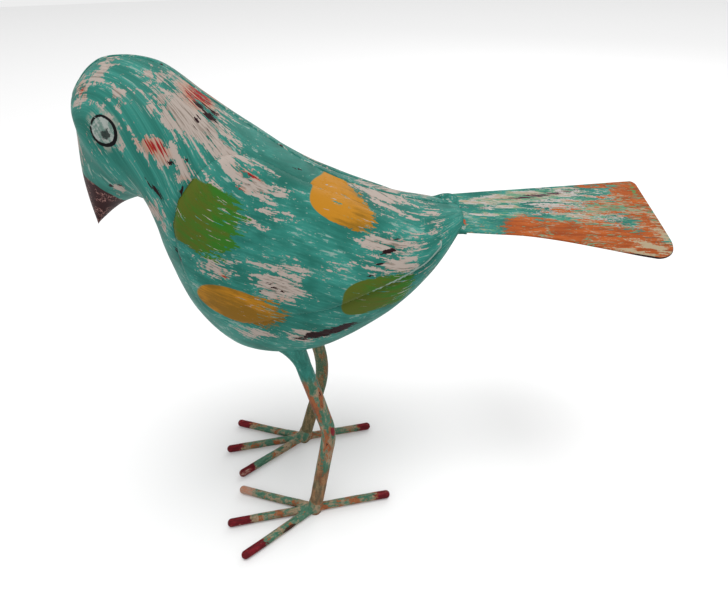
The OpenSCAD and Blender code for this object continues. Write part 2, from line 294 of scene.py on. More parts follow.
def slab(name, top, under, flow, fields_of=None, flip=False, mirror=False):
    """A closed sheet piece from two grids of points; mirror puts it on the right side."""
    both = np.concatenate([top.reshape(-1, 3), under.reshape(-1, 3)])
    both = both + MIDDLE
    if mirror:
        both[:, 1] *= -1
    uv = np.concatenate([flow.reshape(-1, 2)] * 2)
    fields = fields_of(both) if fields_of else None
    return add_mesh(name, both, slab_faces(top.shape[0] - 1, top.shape[1] - 1, flip != mirror),
                    fields, uv)


def ring_faces(n, m):
    """Faces between n rings of m points, numbered ring after ring."""
    return [(i * m + j, i * m + (j + 1) % m, (i + 1) * m + (j + 1) % m, (i + 1) * m + j)
            for i in range(n - 1) for j in range(m)]


def tube(name, path, radius, start=0.0, rings=28, fields=None):
    """A round bar along a path of points, radius a number or a function of (s, angle)."""
    path = np.asarray(path, float)
    tan = unit(np.gradient(path, axis=0))
    length = np.concatenate([[0], np.cumsum(np.linalg.norm(np.diff(path, axis=0), axis=1))])
    up = np.array([0, 1.0, 0]) if abs(tan[0][1]) < 0.9 else np.array([1.0, 0, 0])
    ang = np.linspace(0, 2 * math.pi, rings, endpoint=False)
    verts, flow = [], []
    for p, t, s in zip(path, tan, length):
        e1 = unit(np.cross(t, up))
        e2 = np.cross(t, e1)
        r = radius(s, ang) if callable(radius) else np.full(rings, radius)
        verts.append(p + r[:, None] * (np.cos(ang)[:, None] * e1 + np.sin(ang)[:, None] * e2))
        flow += [(0.1 * (s + start), 0.1 * 4 * a / math.pi) for a in ang]
    verts = np.concatenate(verts)
    verts[:, 2] = np.maximum(verts[:, 2], 0)
    n = len(path)
    faces = [tuple(reversed(f)) for f in ring_faces(n, rings)]
    faces += [tuple(range(rings)), tuple(reversed(range((n - 1) * rings, n * rings)))]
    return add_mesh(name, verts + MIDDLE, faces,
                    fields(verts, length, rings) if fields else None, flow)


def settle(ob, slot, *nodes):
    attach(ob, "root")
    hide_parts(*nodes)
    return ob


# ---------------------------------------------------------------- materials
# How far the paint colours are taken down to allow for the strong light
DIM = 0.6


def srgb(r, g, b):
    def lin(c):
        c /= 255
        return DIM * (c / 12.92 if c <= 0.04045 else ((c + 0.055) / 1.055) ** 2.4)
    return (lin(r), lin(g), lin(b), 1.0)


class Val:
    """A number in a node tree, with arithmetic."""

    def __init__(self, g, out):
        self.g, self.out = g, out

    def op(self, kind, *others):
        node = self.g.node("Math")
        node.operation = kind
        for k, v in enumerate((self, *others)):
            self.g.put(node.inputs[k], v)
        return Val(self.g, node.outputs[0])

    def __add__(self, o):
        return self.op("ADD", o)

    def __sub__(self, o):
        return self.op("SUBTRACT", o)

    def __mul__(self, o):
        return self.op("MULTIPLY", o)

    def max(self, o):
        return self.op("MAXIMUM", o)

    def ramp(self, lo, hi):
        node = self.g.node("MapRange")
        node.interpolation_type = "SMOOTHSTEP"
        self.g.put(node.inputs[0], self)
        node.inputs[1].default_value, node.inputs[2].default_value = lo, hi
        return Val(self.g, node.outputs[0])


class Paint:
    """A material being built from nodes."""

    def __init__(self, name):
        self.mat = bpy.data.materials.new(name)
        self.mat.use_nodes = True
        self.nt = self.mat.node_tree
        self.bsdf = self.nt.nodes["Principled BSDF"]
        co = self.node("TexCoord")
        mm = self.node("VectorMath")
        mm.operation = "SCALE"
        mm.inputs[3].default_value = 1000
        self.nt.links.new(co.outputs["Object"], mm.inputs[0])
        self.p = mm.outputs[0]
        sep = self.node("SeparateXYZ")
        self.nt.links.new(self.p, sep.inputs[0])
        self.x, self.y, self.z = (Val(self, o) for o in sep.outputs)

    def node(self, kind):
        return self.nt.nodes.new("ShaderNode" + kind)

    def flow(self):
        uv = self.node("UVMap")
        uv.uv_map = "flow"
        sep = self.node("SeparateXYZ")
        self.nt.links.new(uv.outputs[0], sep.inputs[0])
        return Val(self, sep.outputs[0]), Val(self, sep.outputs[1])

    def put(self, socket, v):
        if isinstance(v, Val):
            self.nt.links.new(v.out, socket)
        else:
            socket.default_value = v

    def field(self, name):
        node = self.node("Attribute")
        node.attribute_name = name
        return Val(self, node.outputs["Fac"])

    def vec(self, x, y, z=0.0):
        node = self.node("CombineXYZ")
        for s, v in zip(node.inputs, (x, y, z)):
            self.put(s, v)
        return node.outputs[0]

    def noise(self, vec, scale=1.0, detail=4.0, rough=0.6, distortion=0.0):
        node = self.node("TexNoise")
        self.nt.links.new(vec, node.inputs["Vector"])
        node.inputs["Scale"].default_value = scale
        node.inputs["Detail"].default_value = detail
        node.inputs["Roughness"].default_value = rough
        node.inputs["Distortion"].default_value = distortion
        return Val(self, node.outputs["Fac"])

    def mix(self, fac, a, b):
        node = self.node("Mix")
        node.data_type = "RGBA"
        self.put(node.inputs[0], fac)
        for s, c in ((node.inputs[6], a), (node.inputs[7], b)):
            if isinstance(c, tuple):
                s.default_value = c
            else:
                self.nt.links.new(c, s)
        return node.outputs[2]

    def finish(self, colour, rough, height, depth_mm, sheen=0.07):
        self.nt.links.new(colour, self.bsdf.inputs["Base Color"])
        self.put(self.bsdf.inputs["Roughness"], rough)
        self.bsdf.inputs["Specular IOR Level"].default_value = sheen
        bump = self.node("Bump")
        bump.inputs["Distance"].default_value = depth_mm / 1000
        bump.inputs["Strength"].default_value = 1.0
        self.put(bump.inputs["Height"], height)
        self.nt.links.new(bump.outputs[0], self.bsdf.inputs["Normal"])
        return self.mat


TEAL, TEAL_LIGHT, TEAL_DARK = srgb(60, 152, 138), srgb(100, 186, 172), srgb(38, 114, 101)
PRIMER, PRIMER_DIM, FLECK = srgb(196, 182, 172), srgb(150, 136, 124), srgb(168, 192, 182)
RED, RUST, HALO = srgb(164, 34, 36), srgb(182, 84, 46), srgb(204, 156, 130)
DARK = srgb(44, 20, 24)
GREEN, OLIVE = srgb(58, 124, 38), srgb(94, 108, 34)
ORANGE, OCHRE = srgb(208, 142, 36), srgb(150, 108, 28)


def strokes(g, u, v, seed):
    """The brush's noises: broad tone, streaks, fine lines and grain, all centred on zero."""
    streak = g.noise(g.vec(u * 0.62, v * 5.0, seed), 1, 5, 0.66, 0.3) - 0.5
    fine = g.noise(g.vec(u * 1.3, v * 15, seed + 4), 1, 3, 0.62) - 0.5
    broad = g.noise(g.vec(u * 0.5, v * 1.2, seed + 8), 1, 3, 0.5) - 0.5
    grain = g.noise(g.p, 0.7, 3, 0.62) - 0.5
    return streak, fine, broad, grain, streak * 1.8 + fine * 1.0 + grain * 0.7


def teal_coat(g, u, v, seed, streak, fine, broad):
    """The top coat: brushed teal with milky flecks rubbed along the strokes."""
    tone = (broad * 1.4 + streak * 0.9 + 0.5).ramp(0.12, 0.88)
    teal = g.mix(tone, TEAL_DARK, TEAL)
    teal = g.mix((fine * 1.2 + broad * 0.6 + 0.4).ramp(0.35, 0.9) * 0.6, teal, TEAL_LIGHT)
    fleck = g.noise(g.vec(u * 1.6, v * 9, seed + 21), 1, 4, 0.66, 0.4)
    small = g.noise(g.vec(u * 3.2, v * 17, seed + 31), 1, 2, 0.6)
    milky = (fleck + broad * 0.45 + fine * 0.2).ramp(0.6, 0.68)
    milky = milky.max((small + broad * 0.2).ramp(0.66, 0.7))
    return g.mix(milky * 0.75, teal, FLECK)


def primer_coat(g, streak, fine, red_f, stripe):
    """Worn paint: pale primer with grey lines and red undercoat showing in stripes."""
    primer = g.mix((fine * 1.3 + streak * 0.9 + 0.5).ramp(0.34, 0.54), PRIMER_DIM, PRIMER)
    primer = g.mix((red_f + stripe * 1.6).ramp(-0.1, 0.9) * 0.7, primer, HALO)
    red = (red_f * 0.85 + stripe * 3.0 + fine * 1.4).ramp(0.62, 0.8)
    return g.mix(red, primer, g.mix((streak * 1.3 + 0.5).ramp(0.5, 0.66), RED, RUST))


def flank_paint(name):
    """The flanks and wings: teal over primer, red and dark undercoats, patches brushed on top."""
    g = Paint(name)
    u, v = g.flow()
    streak, fine, broad, grain, rub = strokes(g, u, v, 3.0)
    stripe = g.noise(g.vec(u * 0.8, v * 12, 7.0), 1, 4, 0.66, 0.3) - 0.5
    teal = teal_coat(g, u, v, 1.0, streak, fine, broad)
    under = primer_coat(g, streak, fine, g.field("red"), stripe)
    # On the head the coat is worn in short upright flecks, behind it in long strokes
    head = (g.x - PAINT_X).ramp(-78, -94)
    flecks = g.noise(g.vec(g.x, g.y, g.z * 0.5), 0.36, 5, 0.7, 0.4) - 0.5
    tear = rub * 1.3 + head * (flecks * 1.9 - rub * 0.85)
    worn_by = g.field("primer") * 0.56 + broad * 0.45 + tear
    worn = worn_by.ramp(0.16, 0.21)
    colour = g.mix(worn, teal, under)

    # Green and orange patches brushed over the teal, with the strokes drawn out behind
    green_f, orange_f = g.field("green"), g.field("orange")
    drag = (rub * 0.6 + stripe * 0.8) * (g.field("patch_side") * 1.4 + 0.4).ramp(-0.1, 1.0)
    green = (green_f + drag).ramp(0.04, 0.09)
    gtone = (streak * 1.8 + broad * 0.8 + g.field("patch_side") * 0.8 + 0.38).ramp(0.15, 0.75)
    colour = g.mix(green, colour, g.mix(gtone, OLIVE, GREEN))
    orange = (orange_f + drag).ramp(0.04, 0.09)
    # The orange patches turn darker ochre lower down the body: painted shade, mixed with a brushed tone
    orange_tone_and_shade = (stripe * 0.9 + streak * 1.3 + broad * 1.2 + g.z * 0.014 - 2.0).ramp(0.2, 0.8)
    colour = g.mix(orange, colour, g.mix(orange_tone_and_shade, OCHRE, ORANGE))
    patch = green.max(orange)
    nick = (g.noise(g.vec(u * 1.0, v * 13, 17), 1, 4, 0.66, 0.3) + broad * 0.3
            + g.field("patch_side") * 0.16).ramp(0.62, 0.65)
    colour = g.mix(nick * patch, colour, g.mix((fine + 0.5).ramp(0.45, 0.55), PRIMER, TEAL))

    # Dark undercoat showing in knocks and strokes
    dark = (g.field("dark") + rub * 1.0 + stripe * 1.9).ramp(0.24, 0.32)
    hair = g.noise(g.vec(u * 0.9, v * 12, 41), 1, 3, 0.6) + g.field("primer") * 0.05
    dark = dark.max(hair.ramp(0.735, 0.75))
    colour = g.mix(dark, colour, DARK)
    # Rubbed edges of the wing, and a broken dark line of painted shade in the crease beside them
    rubbed = (g.field("edge") + rub * 0.45).ramp(0.42, 0.62)
    colour = g.mix(rubbed * 0.85, colour, FLECK)
    crease_and_shade = (g.field("crease_and_shade") + rub * 1.1).ramp(0.76, 0.88)
    colour = g.mix(crease_and_shade * 0.9, colour, DARK)

    # The painted beak
    beak = (g.field("beak") + rub * 0.6).ramp(-0.15, 0.15)
    scrape = g.noise(g.vec(g.x, g.y, g.z * 0.55), 0.42, 3, 0.6, 1.6)
    away = (scrape - 0.5).op("ABSOLUTE") + fine * 0.03
    patchy = g.noise(g.p, 0.16, 2, 0.5).ramp(0.47, 0.53)
    scratched = away.ramp(0.022, 0.008) * patchy
    beak_col = g.mix(scratched, srgb(52, 8, 12), srgb(204, 150, 140))
    colour = g.mix(beak, colour, beak_col)

    # The painted eye: black ring, worn pale disc, small pupil
    ex, ez = g.x - (EYE[0] + PAINT_X), g.z - EYE[1]
    r = (ex * ex + ez * ez * 0.86).op("SQRT") + rub * 0.28
    disc = r.ramp(4.9, 4.7)
    eye_white = g.mix((streak * 1.4 + grain + 0.5).ramp(0.42, 0.6), srgb(178, 186, 180),
                      srgb(116, 146, 136))
    around = r.ramp(7.5, 5.4) * (rub + 0.5).ramp(0.4, 0.55)
    colour = g.mix(around * 0.7, colour, srgb(176, 176, 164))
    colour = g.mix(disc, colour, eye_white)
    # The ring is heavy behind and below, and broken above in front
    heavy = (ex * 0.12 - ez * 0.1).max(-0.45)
    ring = (r + heavy * 0.55).ramp(3.95, 4.15) * r.ramp(5.15, 4.95)
    gap = (fine * 1.6 + grain * 1.2 + ex * 0.07 - ez * 0.05).ramp(-0.62, -0.5)
    colour = g.mix(ring * gap, colour, srgb(14, 14, 16))
    pr = ((ex - 0.3) * (ex - 0.3) + (ez + 0.9) * (ez + 0.9)).op("SQRT") + grain * 3.4 + rub * 0.8
    colour = g.mix(pr.ramp(1.9, 1.3) * 0.92, colour, srgb(30, 46, 42))

    lift = worn * -0.5 + 0.5 + patch * 0.35 - dark * 0.3
    rough = worn * 0.16 + fine * 0.3 + 0.48
    return g.finish(colour, rough, lift + streak * 0.5 + fine * 0.4, 0.1)


def tail_paint(name):
    """The tail: teal at the root, rust orange on the left half and the end, worn between."""
    g = Paint(name)
    u, v = g.flow()
    streak, fine, broad, grain, rub = strokes(g, u, v, 7.0)
    colour = teal_coat(g, u, v, 5, streak, fine, broad)
    primer = g.mix((fine + 0.5).ramp(0.35, 0.65), PRIMER, srgb(206, 202, 198))
    worn = (g.field("primer") * 0.55 + rub * 1.4 + broad * 0.3).ramp(0.17, 0.24)
    colour = g.mix(worn, colour, primer)
    rust = g.mix((streak * 1.6 + 0.5).ramp(0.25, 0.75), srgb(160, 74, 30), srgb(200, 102, 42))
    colour = g.mix((g.field("rust") + rub * 1.3).ramp(0.08, 0.16), colour, rust)
    chip = g.noise(g.vec(u * 2.2, v * 14, 51), 1, 4, 0.68, 0.4) + broad * 0.4
    green = g.mix((streak * 2 + 0.5).ramp(0.45, 0.55), srgb(96, 160, 124), srgb(182, 168, 140))
    colour = g.mix((chip + g.field("primer").max(0) * 0.13).ramp(0.575, 0.61) * 0.9, colour, green)
    colour = g.mix((g.field("pale") + rub * 2.0).ramp(0.2, 0.32), colour, srgb(188, 170, 138))
    colour = g.mix((g.field("dark") + rub * 1.5 + fine * 3.0).ramp(0.52, 0.6), colour, srgb(78, 46, 62))
    colour = g.mix((g.field("bright") + rub * 2.6).ramp(0.4, 0.5) * 0.8, colour, srgb(60, 160, 98))
    colour = g.mix((g.field("mark") + rub * 1.1).ramp(0.3, 0.4), colour, srgb(190, 90, 50))
    colour = g.mix((g.field("edge") + rub * 0.5).ramp(0.5, 0.75), colour, srgb(48, 28, 26))
    return g.finish(colour, fine * 0.3 + 0.54, streak * 0.7 + fine * 0.5, 0.1)


def rod_paint(name, rusty=0.0, olive=0.0, seed=0.0, low=0.0):
    """Legs, toes and foot welds: mottled green, beige and rust, with maroon toe tips."""
    g = Paint(name)
    blot = g.noise(g.vec(g.x + seed * 31, g.y, g.z * 0.5), 0.12, 4, 0.6, 0.4)
    blot2 = g.noise(g.vec(g.x, g.y + seed * 17, g.z * 0.35), 0.17, 4, 0.6, 0.4)
    streak = g.noise(g.vec(g.x * 0.5, g.y, g.z * 0.16 + seed), 0.62, 4, 0.66) - 0.5
    grain = g.noise(g.p, 0.9, 4, 0.7) - 0.5
    u, v = g.flow()
    line = g.noise(g.vec(u * 1.1, v * 9, seed), 1, 4, 0.66) - 0.5
    rub = streak * 0.5 + line * 0.75 + grain * 0.35

    def tones(lo, hi, a, b):
        return g.mix((rub + 0.5).ramp(lo, hi), srgb(*a), srgb(*b))
    # Toes are worn to primer along their lower sides
    under = (g.z * -1.0 + low).ramp(-1.6, 1.2) * 0.16
    green = tones(0.3, 0.7, (60, 112, 88), (108, 150, 126))
    beige = tones(0.3, 0.7, (140, 118, 86), (188, 166, 138))
    colour = g.mix((blot + rub + under).ramp(0.44, 0.6), green, beige)
    rust = tones(0.35, 0.65, (132, 76, 50), (178, 106, 64))
    # The front of each leg is rubbed to rust
    colour = g.mix((blot2 + rub + rusty + g.field("front") * 0.2).ramp(0.56, 0.63), colour, rust)
    if low < 0:
        brown = (g.z * -0.012 + rub + blot2 * 0.6).ramp(-0.28, -0.12)
        colour = g.mix(brown * 0.75, colour, tones(0.4, 0.6, (120, 84, 56), (168, 132, 92)))
    if olive:
        colour = g.mix(olive, colour, srgb(70, 82, 50))
        speck = (g.noise(g.p, 1.2, 2, 0.7) + rub * 0.4).ramp(0.52, 0.58)
        colour = g.mix(speck * 0.45, colour, srgb(172, 152, 112))
    marks = (line * 1.6 + streak * 0.7 + grain * 0.6 + blot * 0.2).ramp(0.36, 0.42)
    marks = marks.max((g.field("spot") + rub * 0.9).ramp(0.35, 0.45))
    colour = g.mix(marks * 0.9, colour, srgb(46, 26, 22))
    colour = g.mix((g.field("red_spot") + rub * 0.9).ramp(0.35, 0.45), colour, srgb(136, 26, 36))
    top = (g.z + streak * 16).ramp(104, 110)
    teal = g.mix((rub + 0.5).ramp(0.3, 0.7), TEAL_DARK, TEAL)
    teal = g.mix((grain + streak).ramp(0.16, 0.24) * 0.6, teal, FLECK)
    colour = g.mix(top, colour, teal)
    # Maroon tips with torn edges; some have been knocked back to pink primer
    edge = (g.field("tip") + streak * 12 + grain * 5).ramp(0.3, -0.3) * g.field("is_toe")
    red = tones(0.4, 0.65, (98, 14, 24), (140, 26, 38))
    red = g.mix((grain + streak * 0.8).ramp(0.2, 0.27) * 0.8, red, srgb(206, 180, 160))
    pale = (g.field("bare") + rub * 0.8).ramp(0.3, 0.5)
    red = g.mix(pale, red, tones(0.4, 0.6, (202, 140, 110), (190, 160, 142)))
    colour = g.mix(edge, colour, red)
    return g.finish(colour, grain * 0.3 + 0.58, streak * 0.5 + grain * 0.9 - marks * 0.4, 0.22, 0.12)


def weld_paint(name, base, light):
    """Beads and weld lumps: the coat around them, worn pale on the high spots."""
    g = Paint(name)
    grain = g.noise(g.p, 0.45, 4, 0.65) - 0.5
    lump = g.noise(g.p, 0.16, 3, 0.55) - 0.5
    colour = g.mix((grain + lump + 0.5).ramp(0.3, 0.7), base, light)
    colour = g.mix((grain * 1.7 + lump).ramp(0.1, 0.2) * 0.8, colour, srgb(196, 190, 180))
    colour = g.mix((grain * -1.3 + lump).ramp(0.24, 0.32), colour, srgb(60, 34, 30))
    return g.finish(colour, grain * 0.3 + 0.55, lump + grain * 0.6, 0.5)


# ---------------------------------------------------------------- body halves
NU, NV = 320, 84


def wing_outline():
    s = np.linspace(0, len(WING_LINE) - 1, 160)
    w = rows(WING_LINE, s)
    top = flank(w[:, 0], np.radians(w[:, 1]))
    low = flank(w[:, 0], np.radians(w[:, 2]))
    k = np.linspace(0, 1, 12)
    front = flank(np.full(12, w[0, 0]), np.radians(w[0, 1] + (w[0, 2] - w[0, 1]) * k))
    back = flank(np.full(12, w[-1, 0]), np.radians(w[-1, 1] + (w[-1, 2] - w[-1, 1]) * k))
    return top, np.concatenate([front, low, back])


TOP_LINE, LOW_LINE = wing_outline()


def flank_fields(p):
    """What the paint needs to know at each point of a flank, in millimetres or from -1 to 1."""
    local = p - MIDDLE
    local[:, 1] = -np.abs(local[:, 1])
    out = {name: blots(p, name) for name in FIELDS}
    out["beak"] = beak_field(p)
    # Where the painted shade goes: a dark line along the crease under the wing's lower edge
    out["crease_and_shade"] = np.exp(-(nearest(local, LOW_LINE) / 1.1) ** 2) * 0.75
    # The front green patch stops at the wing's front edge
    front = smooth(p[:, 0] - PAINT_X, -88, -80)
    out["green"] = np.where(p[:, 2] > 185, out["green"] * front - (1 - front), out["green"])
    out["edge"] = np.zeros(len(p))
    out["patch_side"] = patch_along(p)
    return out


def half(mirror):
    """One pressed half of the body, hammered and creased at the wing, and its flow lengths."""
    u = np.linspace(0, len(RIBS) - 1, NU + 1)
    a = np.linspace(0, math.pi, NV + 1)
    uu, aa = np.meshgrid(u, a, indexing="ij")
    p = flank(uu, aa)
    nrm = flank_normal(uu, aa)
    fade = smooth(np.sin(aa), 0.0, 0.35) * smooth(uu, 1, 3)
    dent = 0.35 * wobble(p, 26, 3.1 if mirror else 0.0) + 0.12 * wobble(p, 9, 7.7)
    crease_and_shade = 0.55 * np.exp(-(nearest(p, LOW_LINE) / 1.6) ** 2)
    out = p + nrm * ((dent * fade) - crease_and_shade)[..., None]
    inner = flank(uu, aa, SKIN + 0.8)
    step = np.linalg.norm(np.diff(p, axis=0), axis=-1)
    along = np.concatenate([np.zeros((1, NV + 1)), np.cumsum(step, 0)]) * 0.1
    flow = np.stack([along, brushed(p, aa / math.pi * 10) + (20 if mirror else 0)], -1)
    side = "right" if mirror else "left"
    ob = slab(f"body_half_{side}", out, inner, flow, flank_fields, mirror=mirror)
    return settle(ob, "body_paint", f"body_{side}"), along


left_half, ALONG = half(False)
right_half = half(True)[0]


def flow_at(u, a):
    """The flow map's length at a station and angle, read from the body's own grid."""
    fi = np.clip(u / (len(RIBS) - 1) * NU, 0, NU)
    fj = np.clip(a / math.pi * NV, 0, NV)
    i, j = np.minimum(fi.astype(int), NU - 1), np.minimum(fj.astype(int), NV - 1)
    ti, tj = fi - i, fj - j
    return ((1 - ti) * (1 - tj) * ALONG[i, j] + ti * (1 - tj) * ALONG[i + 1, j]
            + (1 - ti) * tj * ALONG[i, j + 1] + ti * tj * ALONG[i + 1, j + 1])


# ---------------------------------------------------------------- wings
def wing(mirror):
    n, m = 220, 110
    s = np.linspace(0, len(WING_LINE) - 1, n + 1)
    # Closer rows near the edges, so that the step is crisp
    t = 0.5 - 0.5 * np.cos(np.linspace(0, math.pi, m + 1))
    ss, tt = np.meshgrid(s, t, indexing="ij")
    w = rows(WING_LINE, ss)
    u = w[..., 0]
    a = np.radians(w[..., 1] + (w[..., 2] - w[..., 1]) * tt)
    p, nrm = flank(u, a), flank_normal(u, a)
    d_low, d_top = nearest(p, LOW_LINE), nearest(p, TOP_LINE)

    def rise(d, r):
        return np.sqrt(np.clip(1 - (1 - np.minimum(d / r, 1)) ** 2, 0, 1))
    h = WING_T * np.minimum(rise(d_low, 3.4), rise(d_top, 7.0))
    h = h + 0.25 * wobble(p, 24, 5.5) * smooth(np.minimum(d_low, d_top), 1, 8)
    top = p + nrm * np.maximum(h, 0)[..., None]
    under = p - nrm * 0.7
    flow = np.stack([flow_at(u, a), brushed(p, a / math.pi * 10) + (20 if mirror else 0)], -1)

    def fields(q):
        out = flank_fields(q)
        out["green"] = blots(q, "green")
        k = len(q) // 2
        rub = np.exp(-((d_low.ravel() - 0.9) / 0.8) ** 2)
        rear = smooth(p[..., 0].ravel(), 20, 60) * 0.55 + 0.35
        out["edge"] = np.concatenate([rub * rear, np.zeros(len(q) - k)])
        # On the wing, painted shade along its lower edge where it steps down into the crease
        out["crease_and_shade"] = np.concatenate([np.exp(-(d_low.ravel() / 0.5) ** 2) * 0.8,
                                        np.zeros(len(q) - k)])
        return out
    side = "right" if mirror else "left"
    ob = slab(f"wing_panel_{side}", top, under, flow, fields, mirror=mirror)
    return settle(ob, "wing_paint", f"wing_{side}")


left_wing, right_wing = wing(False), wing(True)


# ---------------------------------------------------------------- seams
BEAD_W, BEAD_H = 1.3, 0.42


def seam(name, top, node):
    n, across = 300, 8
    u = np.linspace(1.6, 12.6, n + 1)
    c = 0 if top else 2
    line = rows(RIBS, u)[:, c:c + 2]
    t = unit(np.gradient(line, axis=0))
    out = np.stack([-t[:, 1], t[:, 0]], -1) * (1 if top else -1)
    ys = np.linspace(-BEAD_W, BEAD_W, across + 1)

    def sheet(lift):
        """The seam's line moved outwards by a lift for each step across."""
        x, z = (line[:, k, None] + out[:, k, None] * lift for k in (0, 1))
        return np.stack([x, np.tile(ys, (n + 1, 1)), z], -1)
    grid, under = sheet(BEAD_H * (1 - (ys / BEAD_W) ** 2)), sheet(np.full(across + 1, -0.6))
    grid = grid + np.stack([out[:, 0], 0 * out[:, 0], out[:, 1]], -1)[:, None] * (
        0.1 * wobble(grid, 4, 1.3))[..., None]
    length = np.concatenate([[0], np.cumsum(np.linalg.norm(np.diff(line, axis=0), axis=1))])
    flow = np.stack(np.broadcast_arrays(length[:, None] * 0.1, ys[None] * 0.05), -1)
    ob = slab(name, grid, under, flow, flip=top)
    return settle(ob, "seam_weld", node)


back = seam("back_bead", True, "back_seam")
belly = seam("belly_bead", False, "belly_seam")


# ---------------------------------------------------------------- tail
def tail_half(x, v):
    k = np.clip(np.asarray(x, float) / TAIL_LENGTH, 0, 1) * (len(TAIL_LEFT) - 1)
    return np.where(np.asarray(v) < 0, rows(TAIL_LEFT, k)[..., 0], rows(TAIL_RIGHT, k)[..., 0])


def tail_end(v):
    """Length of the plate along the line v across it, -1 at the left edge and 1 at the right."""
    v = np.asarray(v, float)
    r = np.where(v < 0, TAIL_ROUND[0], TAIL_ROUND[1])
    d = np.minimum((1 - np.abs(v)) * TAIL_LEFT[-1, 0], r)
    return TAIL_LENGTH - TAIL_SLANT * v - (r - np.sqrt(r * r - (r - d) ** 2))


TAIL_TO_ROW = np.array(Matrix.Rotation(math.radians(TAIL_TURN), 3, "Z")
                       @ Matrix.Rotation(math.radians(TAIL_DROOP), 3, "Y")
                       @ Matrix.Rotation(math.radians(TAIL_TILT), 3, "X"))


def tail_frame(x, y, z):
    """From the flat plate's own coordinates to the ankle frame."""
    p = np.stack(np.broadcast_arrays(x, y, z), -1)
    return p @ TAIL_TO_ROW.T + np.array(TAIL_ROOT)


def tail_fields(p):
    """The tail's paint layout: x along the plate in millimetres, v from -1 to 1 across it."""
    q = (p - MIDDLE - np.array(TAIL_ROOT)) @ TAIL_TO_ROW
    x, v = q[:, 0], q[:, 1] / tail_half(q[:, 0], q[:, 1])

    def blob(cx, cv, lx, lv, k=1.0, lean=0.0):
        return (1 - np.hypot((x - cx) / lx, (v - cv - lean * (x - cx)) / lv)) * k

    def most(*fields):
        return np.maximum.reduce(fields)
    out = {}
    # Rust: the left side from a quarter of the way out, and the whole end
    top = -0.2 - 0.003 * (x - 45) - 0.6 * smooth(-x, -34, -16)
    out["rust"] = most(np.minimum((top - v) * 1.6, (x - 16) / 14 - 0.4),
                       blob(101, 0.45, 13, 0.75, 1.2), blob(72, -0.75, 50, 0.6, 1.2),
                       blob(82, 0.25, 18, 0.3, 0.5), blob(104, -0.2, 10, 0.5, 0.8),
                       blob(66, 0.1, 20, 0.1, 0.3), blob(90, 0.93, 22, 0.1, 0.6))
    out["primer"] = most(blob(38, 0.6, 44, 0.3, 2.0, 0.006), blob(25, 0.2, 18, 0.16, 0.9),
                         blob(62, 0.35, 30, 0.3, 0.7), blob(74, 0.2, 42, 0.56, 1.1),
                         blob(85, -0.28, 26, 0.1, 1.1), blob(24, -0.2, 16, 0.1, 0.7),
                         blob(8, 0.45, 10, 0.14, 0.8))
    out["pale"] = most(blob(100, -0.76, 12, 0.13, 0.9, -0.01), blob(108, -0.5, 3, 0.25, 0.8),
                       blob(107, -0.35, 3, 0.3, 0.3), blob(88, -0.95, 12, 0.1, 0.5))
    out["dark"] = most(blob(45, 0.66, 24, 0.1, 1.1, 0.006), blob(72, 0.82, 10, 0.05, 0.6),
                       blob(14, 0.12, 8, 0.03, 0.6))
    out["bright"] = blob(103, 0.72, 2.2, 0.2, 1.1)
    out["mark"] = blob(4, -0.62, 3.2, 0.3, 1.0)
    rim = tail_end(np.clip(v, -1, 1)) - x
    out["edge"] = np.maximum(smooth(-v, 0.965, 1.0) * smooth(x, 60, 100),
                             smooth(-rim, -0.9, -0.1) * smooth(-v, 0.3, 0.7))
    return out


def tail():
    n, m = 220, 130
    v = -np.cos(np.linspace(0, math.pi, m + 1)) * 0.45 + np.linspace(-1, 1, m + 1) * 0.55
    s = np.sin(np.linspace(0, math.pi / 2, n + 1)) * 0.5 + np.linspace(0, 1, n + 1) * 0.5
    ss, vv = np.meshgrid(s, v, indexing="ij")
    x = ss * tail_end(vv)
    y = vv * tail_half(x, vv)
    rim = np.minimum((tail_end(vv) - x), (1 - np.abs(vv)) * tail_half(x, vv))
    soft = 0.5 * (1 - np.sqrt(np.clip(1 - (1 - np.clip(rim / 0.6, 0, 1)) ** 2, 0, 1)))
    flat = np.stack([x, y, 0 * x], -1)
    wave = 0.35 * wobble(flat, 40, 2.2) * smooth(x, 8, 40)
    top = tail_frame(x, y, wave - soft)
    under = tail_frame(x, y, wave - TAIL_T + soft)
    flow = np.stack([x * 0.1, 30 + y * 0.09], -1)
    ob = slab("tail_sheet", top, under, flow, tail_fields, flip=True)
    return settle(ob, "tail_paint", "tail_plate")


tail_ob = tail()


def tail_bead():
    """The weld across the tail root: a low uneven collar that fairs the plate into the body."""
    n, m = 40, 110
    xs = np.linspace(-8, 6, n + 1)
    v = np.linspace(-1, 1, m + 1)
    xx, vv = np.meshgrid(xs, v, indexing="ij")
    y = vv * (np.where(vv < 0, 16.4, 11.4) - 0.1 * xx)
    hump = (0.8 * np.exp(-(xx / 3.4) ** 2) - 2.2 * smooth(-xx, 2.5, 8)
            - 0.3 * smooth(xx, 3, 6) + 0.1)
    round_off = 1.6 * (1 - np.sqrt(np.clip(1 - np.clip((np.abs(vv) - 0.86) / 0.14, 0, 1) ** 2, 0, 1)))
    flat = np.stack([xx, y, 0 * xx], -1)
    lump = 0.45 * wobble(flat, 4.2, 4.4) * np.exp(-(xx / 6) ** 2)
    top = tail_frame(xx, y, hump + lump - round_off)
    deep = -2.6 - 2.2 * (1 + vv) + round_off * 0.7
    under = tail_frame(xx, y, np.minimum(deep, hump + lump - round_off - 0.3))
    flow = np.stack([xx * 0.1, vv * 2], -1)
    ob = slab("tail_root_weld", top, under, flow, flip=True)
    return settle(ob, "seam_weld", "tail_weld")


tail_weld = tail_bead()


# ---------------------------------------------------------------- legs
def side_y(side):
    return -LEG_Y if side == "left" else LEG_Y


